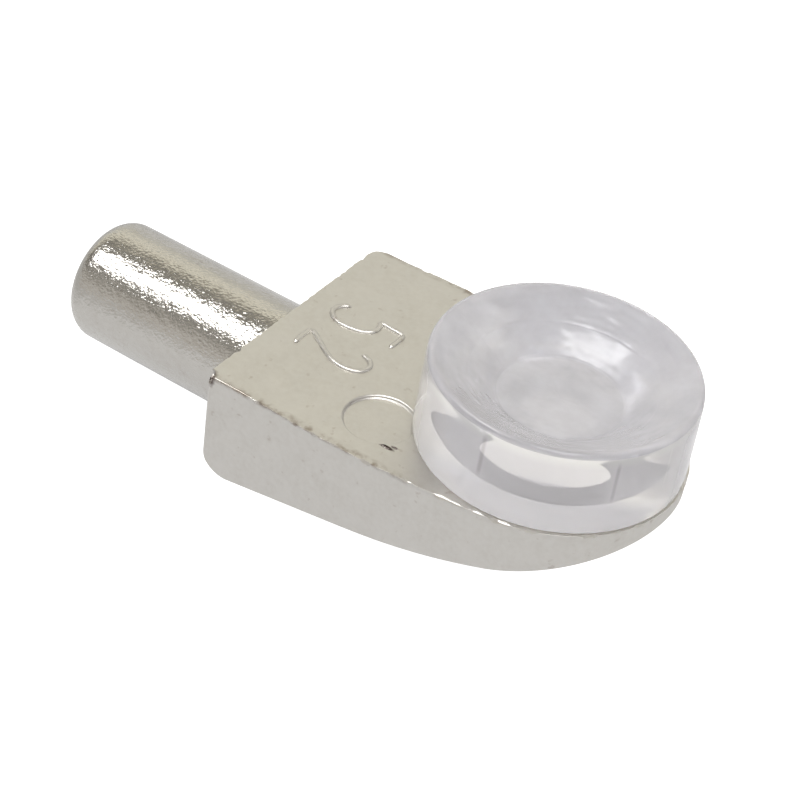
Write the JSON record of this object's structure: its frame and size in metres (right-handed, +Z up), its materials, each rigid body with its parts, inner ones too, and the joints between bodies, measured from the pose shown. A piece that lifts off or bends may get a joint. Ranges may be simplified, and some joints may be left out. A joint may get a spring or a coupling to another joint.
{
  "type": "shelf support pin",
  "caption": "Cast metal shelf support: a round pin plugs into a hole in a cabinet side, and a clear suction pad on its flat wedge grips a glass shelf.",
  "frame": {"origin": "on the pin's axis, in the plane of the shoulder that meets the cabinet side", "axes": "+X along the pin's axis from its tip towards the nose, +Z up to the shelf, the part is the same on both sides of the XZ plane"},
  "size_m": [0.0255, 0.011, 0.01],
  "materials": {
    "plated_casting": "satin nickel plate over a zinc casting, finely mottled, brighter on the pin",
    "clear_pad": "clear soft plastic, glossy, faintly milky"
  },
  "bodies": {
    "root": {"support_body": "plated_casting", "suction_pad": "clear_pad"}
  },
  "joints": []
}
